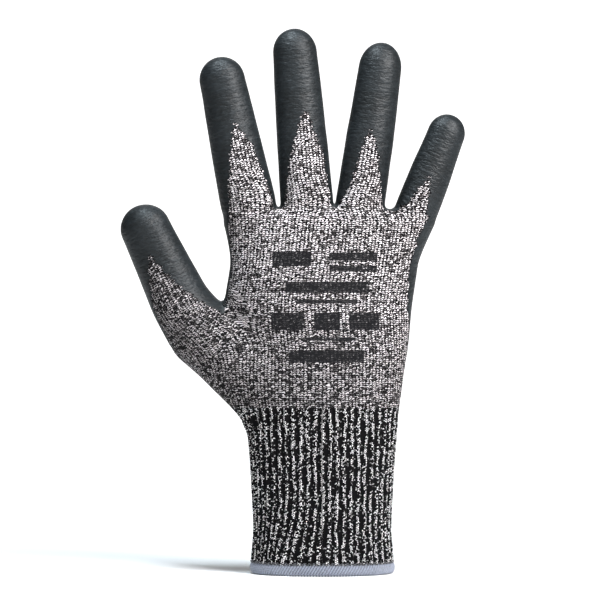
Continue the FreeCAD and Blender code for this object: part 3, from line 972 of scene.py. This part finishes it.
def knit_material():
    """Salt-and-pepper knit: short light stitches between near-black gaps, with worn ink bars on the back, and
    painted light that makes the stitches show lighter towards the upper right.
    """
    nodes = Nodes("knit_melange")
    rest = nodes.layer("rest")
    across, along, _ = nodes.parts(nodes.layer("stitch"))
    drift = nodes.less(nodes.noise(rest, 0.45), 0.5)
    jolt = nodes.less(nodes.noise(rest, 0.9), 0.5)
    wale = nodes.times(jolt, 1.5, nodes.maths("DIVIDE", across, WALE / MM))
    course = nodes.times(drift, 2.2, nodes.maths("DIVIDE", along, COURSE / MM))
    body, chance = yarn_cells(nodes, wale, course, 0.45, 0.30, 1.1)
    fibre = nodes.noise(nodes.scaled(rest, (1.0, 1.0, 1.7)), 1.9, 3.0, 0.65)
    side, _, height = nodes.parts(rest)
    # painted light: the light yarn shows more often and brighter towards the upper right of the hand, where
    # the key light falls, and dimmer low on the left
    painted_light_slope = nodes.between(nodes.times(side, 0.70, height), 60.0, 155.0)
    lit = nodes.times(chance, 0.30, nodes.times(painted_light_slope, 0.06, fibre))
    yarn_share_painted_light = nodes.times(nodes.between(lit, 0.50, 0.70), nodes.times(painted_light_slope, 0.4, 0.6))
    shown = nodes.times(body, yarn_share_painted_light)
    light = nodes.mix(nodes.between(chance, 0.0, 0.45), YARN_GREY, YARN_LIGHT)
    cloudy = nodes.noise(rest, 0.035)
    light = nodes.mix(nodes.times(cloudy, 0.3), light, YARN_SAND)
    plain = nodes.mix(shown, YARN_DARK, light)
    ink = nodes.times(print_mask(nodes, rest), nodes.between(nodes.noise(rest, 1.1), 0.22, 0.42))
    plain = nodes.mix(nodes.times(ink, 0.96), plain, INK)
    return yarn_surface(nodes, plain, fibre, body, 0.60 * MM)


def rib_material():
    """The same yarn in raised columns; in the grooves between them fewer and dimmer light stitches show,
    painted shade that keeps the grooves near black.
    """
    nodes = Nodes("rib_melange")
    rest = nodes.layer("rest")
    column, row, ridge = nodes.parts(nodes.layer("stitch"))
    jolt = nodes.less(nodes.noise(rest, 1.1), 0.5)
    leg = nodes.times(jolt, 0.9, nodes.times(column, LEGS_PER_RIB))
    course = nodes.times(jolt, 1.6, row)
    course = nodes.maths("ADD", course, nodes.times(nodes.maths("FLOOR", leg), 0.5))
    body, chance = yarn_cells(nodes, leg, course, 0.47, 0.34, 0.6)
    fibre = nodes.noise(rest, 1.9, 3.0, 0.65)
    # painted shade: the light stitches thin out and dim from the middle of each rib down into the grooves
    groove_shade_needed = nodes.times(nodes.between(ridge, 0.10, 0.85), -0.52, 0.90)
    lit = nodes.less(nodes.times(fibre, 0.5, chance), groove_shade_needed)
    shown = nodes.times(body, nodes.between(lit, 0.20, 0.40))
    light = nodes.mix(nodes.between(lit, 0.1, 0.4), YARN_GREY, RIB_LIGHT)
    return yarn_surface(nodes, nodes.mix(shown, YARN_DARK, light), fibre, body, 0.30 * MM)


def coat_material():
    """Dipped nitrile rubber: dark slate, softly shining, with fine creases that run across each digit and
    painted shade in the creases' hollows.
    """
    nodes = Nodes("nitrile_coating")
    own = nodes.layer("own")
    crease = nodes.noise(nodes.scaled(own, (0.30, 0.30, 0.85)), 1.0, 2.5, 0.6)
    grain = nodes.noise(own, 2.4)
    swell = nodes.noise(nodes.scaled(own, (0.6, 0.6, 1.0)), 0.22)
    cloudy = nodes.noise(own, 0.06)
    # painted shade: the coating darkens where the crease bump sinks
    crease_shaded_tone = nodes.mix(nodes.between(crease, 0.35, 0.75), COAT_CREASE_SHADE, COAT_COLOUR)
    wear = nodes.times(nodes.between(cloudy, 0.35, 0.7), 0.4)
    nodes.surface("Base Color", nodes.mix(wear, crease_shaded_tone, COAT_WORN))
    nodes.surface("Roughness", nodes.times(crease, 0.24, 0.36))
    nodes.surface("Specular IOR Level", 0.27)
    fine = nodes.bump(grain, 0.035 * MM)
    creased = nodes.bump(crease, 0.62 * MM, fine)
    nodes.surface("Normal", nodes.bump(swell, 0.35 * MM, creased, 0.5))
    return nodes.material


def thread_material(name, tint, fine):
    """Soft spun thread with fine twisted fibres."""
    nodes = Nodes(name)
    rest = nodes.layer("rest")
    fibre = nodes.noise(nodes.scaled(rest, (1.0, 1.0, 2.0)), fine, 3.0, 0.6)
    dark = colour(*(0.45 * part for part in tint[:3]))
    nodes.surface("Base Color", nodes.mix(nodes.between(fibre, 0.25, 0.6), dark, tint))
    nodes.surface("Roughness", nodes.times(fibre, 0.2, 0.65))
    nodes.surface("Sheen Weight", 0.3)
    nodes.surface("Normal", nodes.bump(fibre, 0.15 * MM))
    return nodes.material


# ---- stage

# The stage, in metres: rows of its floor, the curve after the last of them, and its strips.
FLOOR_ROWS = (-3.5, 0.0, 0.45, 1.9)
CURVE = 0.6
BACKDROP_TOP = 3.0
STAGE_STRIPS = (-3.5, -1.3, -0.5, 0.5, 1.3, 3.5)
FLOOR_DROP = 0.3 * MM  # how far below the glove's foot the floor lies
NEAR_GLOW, FAR_GLOW = 0.05, 0.9  # light that the stage gives in front of the glove and behind it
ROOM_LIGHT = 0.10

LENS = 180.0
SENSOR = 36.0
PICTURE_WIDTH = 276 * MM  # where the glove stands
AIM_SHIFT = (3.3 * MM, 0.3 * MM)  # of the picture's middle from the glove's, across and up


def stage_material():
    """A matt white surface that gives light of its own behind the glove."""
    nodes = Nodes("stage_white")
    side, back, _ = nodes.parts(nodes.layer("rest"))
    behind = nodes.times(nodes.between(back, 0.0, 450.0),
                         nodes.between(nodes.maths("ABSOLUTE", side), 1300.0, 500.0))
    glow = nodes.times(behind, FAR_GLOW - NEAR_GLOW, NEAR_GLOW)
    nodes.surface("Base Color", colour(0.86, 0.86, 0.86))
    nodes.surface("Roughness", 0.95)
    nodes.surface("Emission Color", colour(1, 1, 1))
    nodes.surface("Emission Strength", glow)
    return nodes.material


def build_stage():
    """A pale floor that curves up into a backdrop."""
    profile = [(row, 0.0) for row in FLOOR_ROWS]
    for turn in np.linspace(0.1, math.pi / 2, 14):
        profile.append((FLOOR_ROWS[-1] + CURVE * math.sin(turn), CURVE - CURVE * math.cos(turn)))
    profile.append((FLOOR_ROWS[-1] + CURVE, BACKDROP_TOP))
    points = [(x, y, z - FLOOR_DROP) for x in STAGE_STRIPS for y, z in profile]
    count = len(profile)
    corners = [strip * count + step for strip in range(len(STAGE_STRIPS) - 1) for step in range(count - 1)]
    faces = [[corner, corner + count, corner + count + 1, corner + 1] for corner in corners]
    sweep = add_piece("stage_sweep", points, faces, stage_material(), None, {"rest": np.array(points) / MM})


def area_light(name, place, target, size, power, tint=(1.0, 1.0, 1.0)):
    """A soft square light that looks at a target."""
    data = bpy.data.lights.new(name, "AREA")
    data.size = size
    data.energy = power
    data.color = tint
    lamp = bpy.data.objects.new(name, data)
    lamp.location = place
    lamp.rotation_euler = (Vector(target) - Vector(place)).to_track_quat("-Z", "Y").to_euler()
    bpy.context.scene.collection.objects.link(lamp)


def build_lights():
    """Soft light from the front right and above, a weaker one from the left, and a pale room."""
    middle = (0.0, 0.0, 0.13)
    area_light("key", (0.34, -0.36, 0.50), (0.02, 0.0, 0.16), 0.30, 8.6, (0.99, 0.99, 1.0))
    area_light("fill", (-0.45, -0.95, 0.45), middle, 0.40, 1.4)
    area_light("top", (-0.12, -0.12, 0.72), middle, 0.16, 5.0, (0.80, 0.92, 1.0))
    world = bpy.data.worlds.new("room")
    world.use_nodes = True
    background = world.node_tree.nodes["Background"]
    background.inputs["Color"].default_value = (1.0, 1.0, 1.0, 1.0)
    background.inputs["Strength"].default_value = ROOM_LIGHT
    bpy.context.scene.world = world


def build_camera():
    """A level camera in front of the back of the hand, which fills the height of the picture."""
    low, high = cad_bounds
    centre_x, centre_z = (low[0] + high[0]) / 2, (low[2] + high[2]) / 2
    data = bpy.data.cameras.new("camera")
    data.lens = LENS
    data.sensor_width = SENSOR
    camera = bpy.data.objects.new("camera", data)
    across, up = AIM_SHIFT
    camera.location = (centre_x + across, -PICTURE_WIDTH * LENS / SENSOR, centre_z + up)
    camera.rotation_euler = (math.pi / 2, 0.0, 0.0)
    bpy.context.scene.collection.objects.link(camera)
    bpy.context.scene.camera = camera
    bpy.context.scene.view_settings.view_transform = "Standard"


build_hand(knit_material(), coat_material())
build_rib(rib_material())
build_hem(thread_material("hem_band_yarn", BAND_COLOUR, 1.2),
          thread_material("hem_overlock_yarn", HEM_COLOUR, 1.5),
          thread_material("hem_chain_yarn", CHAIN_COLOUR, 1.5))
build_threads(thread_material("elastic_yarn", ELASTIC_COLOUR, 1.5))
build_stage()
build_lights()
build_camera()
